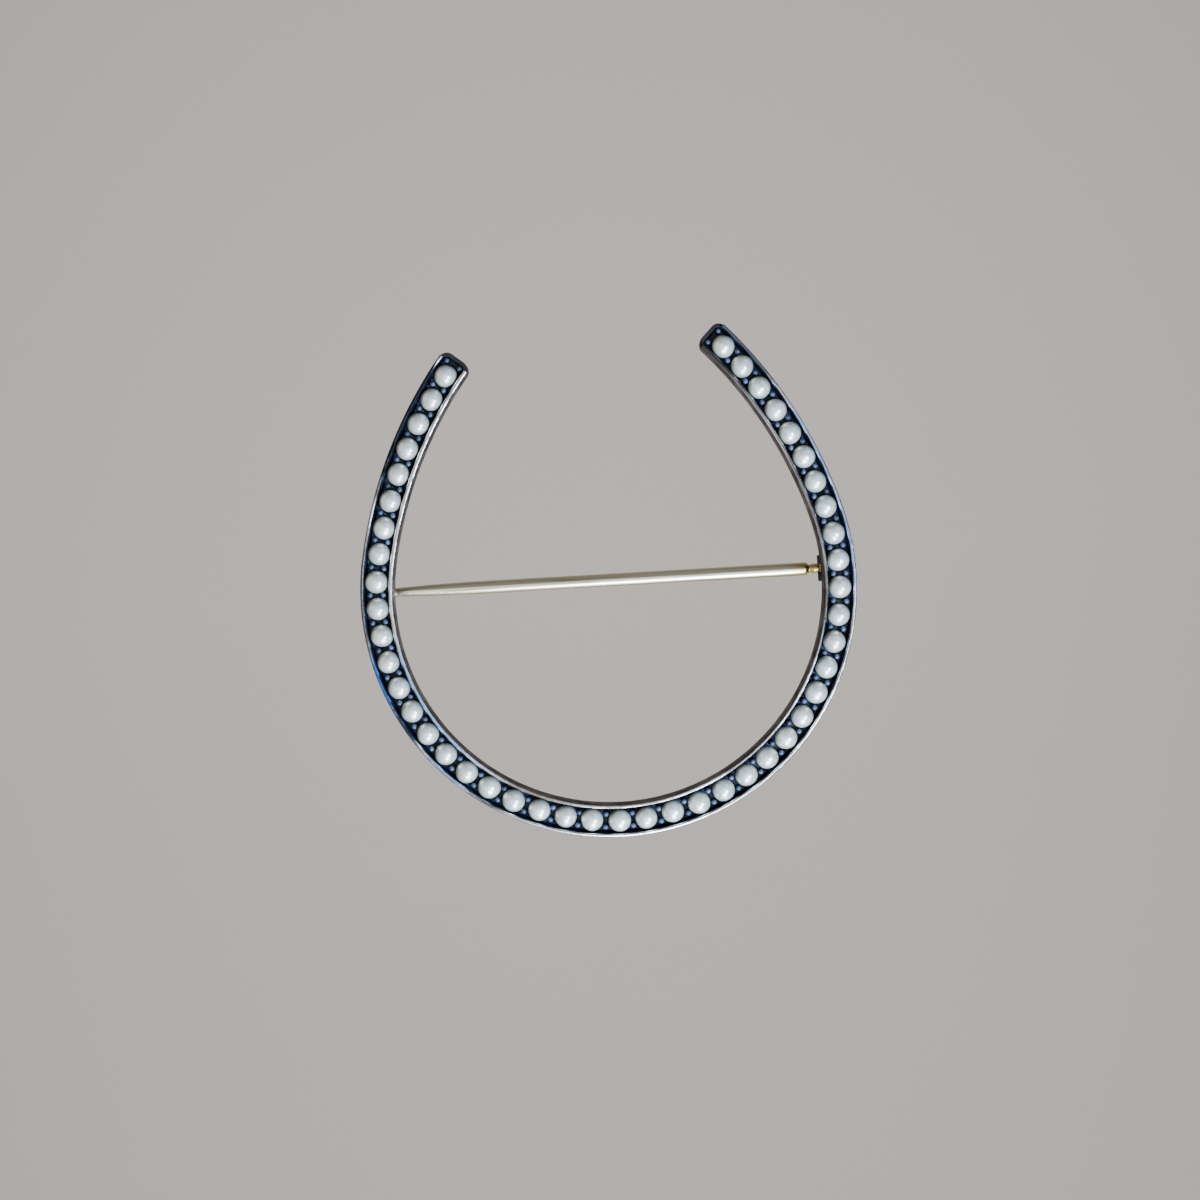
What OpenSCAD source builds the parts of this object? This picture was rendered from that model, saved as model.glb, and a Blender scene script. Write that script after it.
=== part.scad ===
// Horseshoe brooch: an open silver channel set with one row of round pearls, with a hinged pin behind.
// Millimetres. X runs to the right, Z up to the open ends, and the front faces -Y.
// The origin is on the back of the channel, midway between the hinge and the catch.

/* [Horseshoe] */
// Radius of the pearl line round the bottom
bottom_r = 17.8; // [17:0.1:19]
// Angle that the bottom arc turns through on each side
bottom_turn = 103.6; // [95:0.1:110]
// Radius of the pearl line along the straighter arms
arm_r = 34; // [28:0.5:45]
// Length of channel beyond the centre of the last pearl
tip_length = 1.65; // [1.45:0.05:1.75]
// Height of the horseshoe's centre above the pin line
centre_height = -0.7; // [-2:0.05:1]

/* [Channel] */
// Width of the channel between its rims
channel_w = 1.9; // [1.86:0.02:2.1]
// Width of the inner rim
inner_rim_w = 0.33; // [0.25:0.01:0.5]
// Width of the outer rim
outer_rim_w = 0.27; // [0.25:0.01:0.5]
// Depth of the channel from back to rim tops
frame_depth = 1.85; // [1.7:0.05:2]
// Thickness of the channel floor
floor_t = 0.5; // [0.45:0.05:0.6]
// Bevel on the edges of the rims
rim_bevel = 0.07; // [0.04:0.01:0.1]
// Radius of the rounded corners at the tips
tip_corner_r = 0.7; // [0.3:0.05:0.75]
// Length of the rims beyond the centre of the last pearl
rim_reach = 1.1; // [0.9:0.05:1.2]
// Height of the lower wall across each tip
end_wall_height = 1.4; // [1.2:0.05:1.6]

/* [Pearls] */
// Number of pearls
pearl_n = 46; // [44:2:46]
// Distance from pearl to pearl along the row
pitch = 2.1; // [2.06:0.01:2.12]
// Diameter of a pearl
pearl_d = 1.76; // [1.7:0.01:1.8]
// Height of the pearl centres above the back
pearl_height = 1.25; // [1.2:0.01:1.3]
// Gap between a pearl and its seat
seat_gap = 0.03; // [0.02:0.01:0.05]

/* [Grains] */
// Diameter of the grains between pearls
grain_d = 0.44; // [0.36:0.02:0.46]
// Diameter of the smaller grains at the tips
tip_grain_d = 0.42; // [0.3:0.02:0.44]
// Distance of the grains from the pearl line
grain_side = 0.5; // [0.5:0.01:0.6]
// Height of the grain centres above the back
grain_height = 1.3; // [1.1:0.05:1.4]
// Height of the low ridge that joins two grains
ridge_height = 0.95; // [0.7:0.05:1.1]
// Thickness of that ridge
ridge_t = 0.16; // [0.12:0.01:0.18]

/* [Pin] */
// Distance from the back of the channel to the pin's axis
pin_back = 1.4; // [1.35:0.05:1.8]
// Slope of the pin line, lower at the hinge
pin_slope = 2.8; // [0:0.1:5]
// Diameter of the stem
stem_d = 1.02; // [0.9:0.01:1.2]
// Diameter of the stem in the catch
stem_catch_d = 0.6; // [0.55:0.05:0.7]
// Distance from the middle to the stem's thick end
stem_end = 15.6; // [15:0.1:15.8]
// Distance from the middle to where the taper starts, on the catch side
taper_start = 11; // [4:0.5:14]
// Distance from the middle to the point
point_reach = 18.9; // [18.7:0.1:19]

/* [Hinge and catch] */
// Distance from the middle to the rivet
hinge_reach = 17.2; // [17:0.1:17.6]
// Diameter of the rivet
rivet_d = 0.7; // [0.6:0.05:0.75]
// Running clearance round the rivet in the knuckle
rivet_clearance = 0.04; // [0.02:0.01:0.08]
// Outer diameter of the knuckle
knuckle_d = 1.5; // [1.4:0.05:1.6]
// Height of the knuckle, along the rivet
knuckle_h = 0.75; // [0.7:0.05:0.8]
// Thickness of each hinge lug
lug_t = 0.43; // [0.35:0.01:0.5]
// Width of each hinge lug
lug_w = 1.4; // [1.3:0.05:1.5]
// Inner diameter of the catch
catch_bore = 1.5; // [1.4:0.05:1.6]
// Outer diameter of the catch
catch_d = 2.5; // [2.4:0.05:2.6]
// Length of the catch along the pin
catch_length = 1.8; // [1.6:0.1:2]
// Distance from the middle to the middle of the catch
catch_reach = 17.7; // [17.5:0.1:17.8]
// Width of the slot that the pin swings out through
slot_w = 1.15; // [1.1:0.05:1.2]

/* [Hidden] */
$fn = 48;
overlap = 0.1;
cut = 0.5;
inner_half = channel_w / 2 + inner_rim_w;
outer_half = channel_w / 2 + outer_rim_w;
bottom_length = bottom_r * bottom_turn * PI / 180;
row_half = (pearl_n - 1) / 2 * pitch;
arm_length = row_half + tip_length - bottom_length;
arm_turn = arm_length / arm_r * 180 / PI;
channel_arm_turn = (arm_length - inner_rim_w) / arm_r * 180 / PI;
bottom_centre = [0, centre_height];
arm_centre = bottom_centre + (arm_r - bottom_r) * [-sin(bottom_turn), cos(bottom_turn)];
arm_lap = 0.4;
arm_inset = 0.005;
tip_grain_reach = 1.05;
tip_grain_side = 0.58;
post_share = 0.86;
lug_gap = 0.045;
lug_hole_gap = 0.02;
rivet_head_d = 1.15;
rivet_head_h = 0.2;
head_gap = 0.03;
neck_d = 0.62;
neck_length = 0.25;
tongue_t = 1;
point_d = 0.12;
foot_w = 1.1;
foot_height = 0.6;

function pearl_name(i) = str("pearl_", i < 10 ? "0" : "", i);
function pearl_place(i) = (i - (pearl_n + 1) / 2) * pitch;

// Turn of the row, from the bottom, at the distance s along it, and the middle of the arc there
function turn_at(s) = abs(s) < bottom_length
    ? abs(s) / bottom_r * 180 / PI
    : bottom_turn + (abs(s) - bottom_length) / arm_r * 180 / PI;
function arc_centre(s) = abs(s) < bottom_length ? bottom_centre : arm_centre;
function arc_radius(s) = abs(s) < bottom_length ? bottom_r : arm_r;

// Moves its children to the distance s along the row, turned so that +X runs along the row to the right tip
module along_row(s) {
    side = s < 0 ? -1 : 1;
    middle = arc_centre(s);
    reach = arc_radius(s);
    turn = turn_at(s);
    translate([side * (middle.x + reach * sin(turn)), middle.y - reach * cos(turn), 0])
        rotate(side * turn)
            children();
}

// Stands a plan, drawn in X and Y with its height in Z, upright with its height towards the front
module face_front() {
    rotate([90, 0, 0])
        children();
}

// Places its children on the pin line, with +X along the pin to the hinge
module on_pin_line() {
    translate([0, pin_back, 0])
        rotate([0, pin_slope, 0])
            children();
}

// Sweeps a cross-section, drawn as distance from the pearl line and height, round the bottom
module sweep_bottom() {
    translate(bottom_centre)
        rotate(-90 - bottom_turn)
            rotate_extrude(angle = 2 * bottom_turn)
                translate([bottom_r, 0])
                    children();
}

// Sweeps a cross-section along both arms, starting a little inside the bottom arc
module sweep_arms(turn) {
    for (side = [0, 1])
        mirror([side, 0, 0])
            translate(arm_centre)
                rotate(bottom_turn - 90 - arm_lap)
                    rotate_extrude(angle = turn + arm_lap)
                        translate([arm_r, 0])
                            children();
}

module band_section(inset = 0) {
    from = -inner_half + inset;
    to = outer_half - inset;
    polygon([
        [from, 0],
        [to, 0],
        [to, frame_depth - rim_bevel],
        [to - rim_bevel, frame_depth],
        [from + rim_bevel, frame_depth],
        [from, frame_depth - rim_bevel]
    ]);
}

module channel_section(inset = 0) {
    half = channel_w / 2 - inset;
    polygon([
        [-half, floor_t],
        [half, floor_t],
        [half, frame_depth - rim_bevel],
        [half + rim_bevel + cut, frame_depth + cut],
        [-half - rim_bevel - cut, frame_depth + cut],
        [-half, frame_depth - rim_bevel]
    ]);
}

// What is cut from one corner of a tip to round it
module corner_cut(half) {
    middle = half - tip_corner_r;
    difference() {
        translate([-tip_corner_r, middle, -cut])
            cube([tip_corner_r + cut, tip_corner_r + cut, frame_depth + 2 * cut]);
        translate([-tip_corner_r, middle, -2 * cut])
            cylinder(r = tip_corner_r * 1.02, h = frame_depth + 4 * cut);
    }
}

// Rounds the corners of each tip and lowers the wall across it
module tip_cuts() {
    for (side = [0, 1])
        mirror([side, 0, 0])
            along_row(row_half + tip_length) {
                corner_cut(inner_half);
                mirror([0, 1, 0])
                    corner_cut(outer_half);
                translate([rim_reach - tip_length, -inner_half - cut, end_wall_height])
                    cube([tip_length, 2 * (inner_half + cut), frame_depth]);
            }
}

module pearl_seats() {
    for (i = [1 : pearl_n])
        along_row(pearl_place(i))
            translate([0, 0, pearl_height])
                sphere(d = pearl_d + 2 * seat_gap);
}

// One grain on its post
module grain(size) {
    translate([0, 0, floor_t - overlap])
        cylinder(d = size * post_share, h = grain_height - floor_t + overlap);
    translate([0, 0, grain_height])
        sphere(d = size);
}

// Two grains joined by a low ridge, in one gap between pearls
module grain_pair() {
    for (side = [-1, 1])
        translate([0, side * grain_side, 0])
            grain(grain_d);
    translate([-ridge_t / 2, -grain_side, floor_t - overlap])
        cube([ridge_t, 2 * grain_side, ridge_height - floor_t + overlap]);
}

module grains() {
    for (i = [1 : pearl_n - 1])
        along_row(pearl_place(i) + pitch / 2)
            grain_pair();
    for (tip = [-1, 1])
        along_row(tip * (row_half + tip_grain_reach))
            for (side = [-1, 1])
                translate([0, side * tip_grain_side, 0])
                    grain(tip_grain_d);
}

// The two lugs that hold the rivet, soldered to the back of the right arm
module hinge_lugs() {
    lug_from = knuckle_h / 2 + lug_gap;
    on_pin_line()
        for (side = [0, 1])
            mirror([0, 0, side])
                translate([hinge_reach, 0, lug_from])
                    difference() {
                        union() {
                            cylinder(d = lug_w, h = lug_t);
                            translate([-lug_w / 2, -pin_back - overlap, 0])
                                cube([lug_w, pin_back + overlap, lug_t]);
                        }
                        translate([0, 0, -cut])
                            cylinder(d = rivet_d + 2 * lug_hole_gap, h = lug_t + 2 * cut);
                    }
}

// The C shaped catch behind the left arm, open to the back
module catch() {
    on_pin_line()
        translate([-catch_reach - catch_length / 2, 0, 0])
            difference() {
                union() {
                    rotate([0, 90, 0])
                        cylinder(d = catch_d, h = catch_length);
                    translate([0, -pin_back - overlap, -foot_w / 2])
                        cube([catch_length - cut, foot_height + overlap, foot_w]);
                }
                translate([-cut, 0, 0])
                    rotate([0, 90, 0])
                        cylinder(d = catch_bore, h = catch_length + 2 * cut);
                translate([-cut, 0, -slot_w / 2])
                    cube([catch_length + 2 * cut, catch_d, slot_w]);
            }
}

module frame() {
    color("#8d939b") {
        face_front() {
            difference() {
                union() {
                    sweep_bottom()
                        band_section();
                    sweep_arms(arm_turn)
                        band_section(arm_inset);
                }
                sweep_bottom()
                    channel_section();
                sweep_arms(channel_arm_turn)
                    channel_section(arm_inset);
                pearl_seats();
                tip_cuts();
            }
            grains();
        }
        hinge_lugs();
        catch();
    }
}

module pin() {
    tongue_from = stem_end + neck_length;
    color("#c9b98a")
        on_pin_line()
            difference() {
                union() {
                    stem();
                    translate([tongue_from - overlap, -tongue_t / 2, -knuckle_h / 2])
                        cube([hinge_reach - tongue_from + overlap, tongue_t, knuckle_h]);
                    translate([hinge_reach, 0, -knuckle_h / 2])
                        cylinder(d = knuckle_d, h = knuckle_h);
                }
                translate([hinge_reach, 0, -knuckle_h])
                    cylinder(d = rivet_d + 2 * rivet_clearance, h = 2 * knuckle_h);
            }
}

// The round wire, from its neck by the hinge to its point
module stem() {
    catch_inner = catch_reach - catch_length / 2;
    rotate([0, 90, 0]) {
        translate([0, 0, stem_end])
            cylinder(d1 = stem_d, d2 = neck_d, h = neck_length);
        translate([0, 0, -taper_start])
            cylinder(d = stem_d, h = stem_end + taper_start);
        translate([0, 0, -catch_inner])
            cylinder(d1 = stem_catch_d, d2 = stem_d, h = catch_inner - taper_start);
        translate([0, 0, -point_reach])
            cylinder(d1 = point_d, d2 = stem_catch_d, h = point_reach - catch_inner);
    }
}

module hinge_rivet() {
    shaft_half = knuckle_h / 2 + lug_gap + lug_t + head_gap;
    color("#b9b4a6")
        on_pin_line()
            translate([hinge_reach, 0, 0]) {
                translate([0, 0, -shaft_half - rivet_head_h / 2])
                    cylinder(d = rivet_d, h = 2 * shaft_half + rivet_head_h);
                for (side = [0, 1])
                    mirror([0, 0, side])
                        translate([0, 0, shaft_half])
                            cylinder(d1 = rivet_head_d, d2 = rivet_d, h = rivet_head_h);
            }
}

module pearl(i) {
    color("#c9c8bc")
        face_front()
            along_row(pearl_place(i))
                translate([0, 0, pearl_height])
                    sphere(d = pearl_d);
}

frame();
pin();
hinge_rivet();
for (i = [1 : pearl_n]) pearl(i);
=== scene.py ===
# Horseshoe brooch: silver channel band, pearls, hinged pin wire
import math
import random

import bmesh
import bpy
from mathutils import Matrix, Vector


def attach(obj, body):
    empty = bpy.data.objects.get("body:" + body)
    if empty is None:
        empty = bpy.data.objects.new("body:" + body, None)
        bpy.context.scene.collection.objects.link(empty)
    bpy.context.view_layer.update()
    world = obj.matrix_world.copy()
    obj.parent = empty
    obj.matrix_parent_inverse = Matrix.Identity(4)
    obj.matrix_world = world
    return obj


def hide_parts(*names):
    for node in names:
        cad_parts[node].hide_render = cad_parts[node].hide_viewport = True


mm = 0.001
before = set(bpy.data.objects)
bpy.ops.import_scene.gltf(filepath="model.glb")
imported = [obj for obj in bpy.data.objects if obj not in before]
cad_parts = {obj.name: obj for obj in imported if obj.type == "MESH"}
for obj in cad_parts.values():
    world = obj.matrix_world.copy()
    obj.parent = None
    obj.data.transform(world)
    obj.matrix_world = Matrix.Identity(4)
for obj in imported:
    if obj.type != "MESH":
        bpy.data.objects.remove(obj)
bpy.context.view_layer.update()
print("Frame loaded")

# The row of pearls: what the band, the grains and the pearls share
row = {
    "bottomRadius": 17.8,
    "bottomTurn": 103.6,
    "armRadius": 34.0,
    "tipLength": 1.65,
    "centreHeight": -0.7,
    "pearlCount": 46,
    "pitch": 2.1,
}

# Sizes of the pin, shared with its hinge and catch
pin = {
    "back": 1.4,
    "slope": 2.8,
    "thickness": 1.02,
    "taperStart": 11.0,
    "pointReach": 18.9,
    "hingeReach": 17.2,
    "neck": 0.62,
    "tongue": 1.0,
    "knuckle": 1.5,
    "knuckleHeight": 0.75,
    "rivet": 0.7,
    "clearance": 0.04,
    "rivetHead": 1.15,
    "headFrom": 0.88,
    "headHeight": 0.2,
}

# The photograph's view: a 50 mm lens, distances in millimetres, angles in degrees
photoView = {
    "lens": 50.0,
    "distance": 128.06,
    "tilt": 1.0,
    "turn": -0.17,
    "roll": 6.1,
    "across": 0.634,
    "up": 1.013,
    "aimHeight": -0.5,
    "aimDepth": -1.25,
}


def hexColour(code):
    # sRGB hex to linear colour
    parts = [int(code[i : i + 2], 16) / 255 for i in (1, 3, 5)]
    linear = [c / 12.92 if c <= 0.04045 else ((c + 0.055) / 1.055) ** 2.4 for c in parts]
    return (*linear, 1.0)


def addNode(tree, kind, settings=None, links=None):
    # settings: attributes or input values by name or number; links: input to output socket
    node = tree.nodes.new(kind)
    for key, value in (settings or {}).items():
        if isinstance(key, str) and hasattr(node, key):
            setattr(node, key, value)
        else:
            node.inputs[key].default_value = value
    for key, socket in (links or {}).items():
        tree.links.new(socket, node.inputs[key])
    return node


def setRamp(node, stops):
    # stops: list of (position, hex colour)
    ramp = node.color_ramp
    while len(ramp.elements) > 1:
        ramp.elements.remove(ramp.elements[-1])
    ramp.elements[0].position = stops[0][0]
    ramp.elements[0].color = hexColour(stops[0][1])
    for position, code in stops[1:]:
        ramp.elements.new(position).color = hexColour(code)


def newMaterial(name):
    material = bpy.data.materials.new(name)
    material.use_nodes = True
    tree = material.node_tree
    tree.nodes.clear()
    output = addNode(tree, "ShaderNodeOutputMaterial")
    shader = addNode(tree, "ShaderNodeBsdfPrincipled")
    tree.links.new(shader.outputs[0], output.inputs[0])
    place = addNode(tree, "ShaderNodeTexCoord").outputs["Object"]
    return material, tree, shader, place


# Metals and nacre
def nearPoint(tree, place, point, reach):
    # 1 close to a point in mm, falling to 0 at the reach
    away = addNode(
        tree,
        "ShaderNodeVectorMath",
        {"operation": "DISTANCE", 1: [c * mm for c in point]},
        {0: place},
    )
    fade = addNode(
        tree,
        "ShaderNodeMapRange",
        {"interpolation_type": "SMOOTHSTEP", "From Min": reach * mm, "From Max": 0.3 * reach * mm},
        {"Value": away.outputs["Value"]},
    )
    return fade.outputs["Result"]


def mixColour(tree, amount, first, second):
    # Mixes two colours, each a hex value or a socket, by a socket
    settings, links = {"data_type": "RGBA"}, {0: amount}
    for index, colour in ((6, first), (7, second)):
        if isinstance(colour, str):
            settings[index] = hexColour(colour)
        else:
            links[index] = colour
    return addNode(tree, "ShaderNodeMix", settings, links).outputs[2]


rimFinish = {
    "bright": "#EFECE6",
    "dull": "#CFC8BF",
    "waveSize": 2.2,
    "scratchSize": 0.14,
    "patchSize": 0.9,
    # Each painted spot: a place on the rim in mm, how far it reaches, and its colour; pale and blue spots are painted
    # reflections, dark spots painted shade
    "innerPaintedLight": [
        ((-15, -1.8, -9), 8, "#A3C0E6"),
        ((-6, -1.8, -15), 6, "#8F867C"),
        ((1, -1.8, -17), 6, "#9C9384"),
        ((10, -1.8, -13), 8, "#69635D"),
        ((16, -1.8, -5), 8, "#57524E"),
        ((16, -1.8, 4), 8, "#817B77"),
        ((10, -1.8, 16), 10, "#85817F"),
        ((9.5, -1.8, 17.5), 5, "#4A4744"),
    ],
    "outerPaintedLight": [
        ((-18, -1.8, 1), 8, "#6E6A67"),
        ((-14, -1.8, 12), 8, "#1E1D1C"),
        ((-12, -1.8, 16), 5, "#100F0F"),
        ((-18, -1.8, -6), 4, "#3D7BD0"),
        ((-16, -1.8, -9), 3, "#34455E"),
        ((-13.5, -1.8, -13), 3.5, "#9DBFF0"),
        ((-10.5, -1.8, -15.6), 2.5, "#6A6C70"),
        ((12, -1.8, -15), 5, "#BDB9B3"),
        ((17, -1.8, -8), 5, "#8A8886"),
        ((18, -1.8, 1), 6, "#ADCAF6"),
        ((16, -1.8, 8), 6, "#ADCAF4"),
        ((11, -1.8, 16), 7, "#5F656E"),
    ],
}


def polishedSilverPaintedLight(name, paintedLightSpots):
    # Sterling silver strip, filed and polished by hand: bright, softly waved, with a random wear tone, and painted
    # reflections and painted shade laid on at given places
    material, tree, shader, place = newMaterial(name)
    wear = addNode(
        tree, "ShaderNodeTexNoise", {"Scale": 1 / (0.9 * mm), "Detail": 4.0, "Roughness": 0.6}, {"Vector": place}
    )
    tone = addNode(tree, "ShaderNodeValToRGB", None, {"Fac": wear.outputs["Fac"]})
    setRamp(tone, [(0.36, rimFinish["dull"]), (0.52, rimFinish["bright"])])
    # The places of the painted reflections and shade are blurred by noise, so that they end in patches
    blur = addNode(
        tree,
        "ShaderNodeTexNoise",
        {"Scale": 1 / (rimFinish["patchSize"] * mm), "Detail": 2.0},
        {"Vector": place},
    )
    shift = addNode(
        tree,
        "ShaderNodeVectorMath",
        {"operation": "MULTIPLY_ADD", 1: (5 * mm, 0, 5 * mm), 2: (-2.5 * mm, 0, -2.5 * mm)},
        {0: blur.outputs["Color"]},
    )
    about = addNode(
        tree, "ShaderNodeVectorMath", {"operation": "ADD"}, {0: place, 1: shift.outputs["Vector"]}
    )
    colour = tone.outputs["Color"]
    # Painted reflections and painted shade, one spot after another, over the wear tone
    for point, reach, code in paintedLightSpots:
        colour = mixColour(tree, nearPoint(tree, about.outputs["Vector"], point, reach), colour, code)
    rough = addNode(
        tree,
        "ShaderNodeMapRange",
        {"From Min": 0.3, "From Max": 0.65, "To Min": 0.36, "To Max": 0.2},
        {"Value": wear.outputs["Fac"]},
    )
    waves = addNode(
        tree, "ShaderNodeTexNoise", {"Scale": 1 / (rimFinish["waveSize"] * mm), "Detail": 1.0}, {"Vector": place}
    )
    scratches = addNode(
        tree, "ShaderNodeTexNoise", {"Scale": 1 / (rimFinish["scratchSize"] * mm), "Detail": 3.0}, {"Vector": place}
    )
    coarse = addNode(
        tree, "ShaderNodeBump", {"Strength": 0.4, "Distance": 0.08 * mm}, {"Height": waves.outputs["Fac"]}
    )
    fine = addNode(
        tree,
        "ShaderNodeBump",
        {"Strength": 0.08, "Distance": 0.006 * mm},
        {"Height": scratches.outputs["Fac"], "Normal": coarse.outputs["Normal"]},
    )
    shader.inputs["Metallic"].default_value = 1.0
    tree.links.new(colour, shader.inputs["Base Color"])
    tree.links.new(rough.outputs["Result"], shader.inputs["Roughness"])
    tree.links.new(fine.outputs["Normal"], shader.inputs["Normal"])
    return material


# Side walls: random brown tarnish patches, dark enough to be painted shade as well; the darker pair is painted shade
# on the lugs and tip tops
wallTarnishAndShade = {
    "light": "#574C43",
    "brown": "#241C17",
    "shadeDarkPale": "#332E2C",
    "shadeDarkBrown": "#15120F",
    "patchSize": 1.4,
}


def tarnishAndShadeSilver(name, brown, light):
    # Rolled silver strip tarnished on the sides: a dull brown film over the metal, kept dark so that it also stands in
    # for painted shade
    material, tree, shader, place = newMaterial(name)
    patches = addNode(
        tree,
        "ShaderNodeTexNoise",
        {"Scale": 1 / (wallTarnishAndShade["patchSize"] * mm), "Detail": 5.0, "Roughness": 0.65},
        {"Vector": place},
    )
    tone = addNode(tree, "ShaderNodeValToRGB", None, {"Fac": patches.outputs["Fac"]})
    setRamp(tone, [(0.38, brown), (0.68, light)])
    rough = addNode(
        tree,
        "ShaderNodeMapRange",
        {"From Min": 0.35, "From Max": 0.65, "To Min": 0.75, "To Max": 0.5},
        {"Value": patches.outputs["Fac"]},
    )
    grain = addNode(tree, "ShaderNodeTexNoise", {"Scale": 1 / (0.1 * mm), "Detail": 3.0}, {"Vector": place})
    bump = addNode(
        tree, "ShaderNodeBump", {"Strength": 0.2, "Distance": 0.01 * mm}, {"Height": grain.outputs["Fac"]}
    )
    shader.inputs["Metallic"].default_value = 0.25
    shader.inputs["Specular IOR Level"].default_value = 0.2
    tree.links.new(tone.outputs["Color"], shader.inputs["Base Color"])
    tree.links.new(rough.outputs["Result"], shader.inputs["Roughness"])
    tree.links.new(bump.outputs["Normal"], shader.inputs["Normal"])
    return material


backFinish = {
    "pale": "#B3AEA6",
    "grey": "#7C766E",
    "patchSize": 2.6,
    "lineSize": 0.12,
    "roughness": (0.36, 0.52),
}


def satinSilver():
    # Silver rubbed by cloth on the back: a satin grey with fine wear lines and thin tarnish
    material, tree, shader, place = newMaterial("satinSilver")
    patches = addNode(
        tree,
        "ShaderNodeTexNoise",
        {"Scale": 1 / (backFinish["patchSize"] * mm), "Detail": 4.0, "Roughness": 0.55},
        {"Vector": place},
    )
    tone = addNode(tree, "ShaderNodeValToRGB", None, {"Fac": patches.outputs["Fac"]})
    setRamp(tone, [(0.36, backFinish["grey"]), (0.58, backFinish["pale"])])
    low, high = backFinish["roughness"]
    rough = addNode(
        tree,
        "ShaderNodeMapRange",
        {"From Min": 0.35, "From Max": 0.65, "To Min": high, "To Max": low},
        {"Value": patches.outputs["Fac"]},
    )
    stretched = addNode(
        tree, "ShaderNodeMapping", {"vector_type": "TEXTURE", "Scale": (12.0, 1.0, 1.0)}, {"Vector": place}
    )
    lines = addNode(
        tree,
        "ShaderNodeTexNoise",
        {"Scale": 1 / (backFinish["lineSize"] * mm), "Detail": 3.0},
        {"Vector": stretched.outputs["Vector"]},
    )
    bump = addNode(
        tree, "ShaderNodeBump", {"Strength": 0.12, "Distance": 0.008 * mm}, {"Height": lines.outputs["Fac"]}
    )
    shader.inputs["Metallic"].default_value = 0.9
    tree.links.new(tone.outputs["Color"], shader.inputs["Base Color"])
    tree.links.new(rough.outputs["Result"], shader.inputs["Roughness"])
    tree.links.new(bump.outputs["Normal"], shader.inputs["Normal"])
    return material


recessFinish = {
    "black": "#111823",
    "blue": "#2B3C55",
    "patchSize": 0.55,
}


def oxidisedSilver():
    # Silver blackened in the recesses: a blue black skin with a low sheen
    material, tree, shader, place = newMaterial("oxidisedSilver")
    patches = addNode(
        tree,
        "ShaderNodeTexNoise",
        {"Scale": 1 / (recessFinish["patchSize"] * mm), "Detail": 3.0, "Roughness": 0.55},
        {"Vector": place},
    )
    tone = addNode(tree, "ShaderNodeValToRGB", None, {"Fac": patches.outputs["Fac"]})
    setRamp(tone, [(0.45, recessFinish["black"]), (0.66, recessFinish["blue"])])
    grain = addNode(tree, "ShaderNodeTexNoise", {"Scale": 1 / (0.15 * mm), "Detail": 3.0}, {"Vector": place})
    bump = addNode(
        tree, "ShaderNodeBump", {"Strength": 0.3, "Distance": 0.02 * mm}, {"Height": grain.outputs["Fac"]}
    )
    shader.inputs["Metallic"].default_value = 0.4
    shader.inputs["Roughness"].default_value = 0.38
    shader.inputs["Specular IOR Level"].default_value = 0.35
    tree.links.new(tone.outputs["Color"], shader.inputs["Base Color"])
    tree.links.new(bump.outputs["Normal"], shader.inputs["Normal"])
    return material


# Grain colours: dark feet, and a lighter bluish top that is a painted highlight
grainPaintedHighlight = {
    "top": "#5C6980",
    "side": "#28323F",
    "topHeight": 1.42,
    "sideHeight": 0.95,
}


def burnishedGrainPaintedHighlight():
    # Raised silver grains: blackened round their feet, lighter bluish grey towards the top as a painted highlight,
    # broken up at random
    material, tree, shader, place = newMaterial("burnishedGrainPaintedHighlight")
    depth = addNode(tree, "ShaderNodeSeparateXYZ", None, {"Vector": place})
    # Painted highlight: the colour lightens with height from the feet to the tops
    height = addNode(
        tree,
        "ShaderNodeMapRange",
        {"From Min": -grainPaintedHighlight["sideHeight"] * mm, "From Max": -grainPaintedHighlight["topHeight"] * mm},
        {"Value": depth.outputs["Y"]},
    )
    shade = addNode(tree, "ShaderNodeTexNoise", {"Scale": 1 / (1.3 * mm), "Detail": 1.0}, {"Vector": place})
    worn = addNode(
        tree,
        "ShaderNodeMapRange",
        {"From Min": 0.3, "From Max": 0.6, "To Min": 0.25, "To Max": 1.0},
        {"Value": shade.outputs["Fac"]},
    )
    amount = addNode(
        tree, "ShaderNodeMath", {"operation": "MULTIPLY"}, {0: height.outputs["Result"], 1: worn.outputs["Result"]}
    )
    shader.inputs["Metallic"].default_value = 0.7
    shader.inputs["Roughness"].default_value = 0.6
    tree.links.new(
        mixColour(tree, amount.outputs[0], grainPaintedHighlight["side"], grainPaintedHighlight["top"]), shader.inputs["Base Color"]
    )
    return material


pearlFinish = {
    "cream": "#E4E6DA",
    "grey": "#D6DBD2",
    "rose": "#E0DDD6",
    "olive": "#B4B797",
    # The edge colour is partly a nacre tint and partly painted shade, laid on where the surface turns from the view
    "edge": "#B8BB9F",
    "sheen": 0.42,
    "roughness": 0.28,
    "patchSize": 3.2,
    "mottleSize": 0.42,
    "mottle": 0.6,
}


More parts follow.
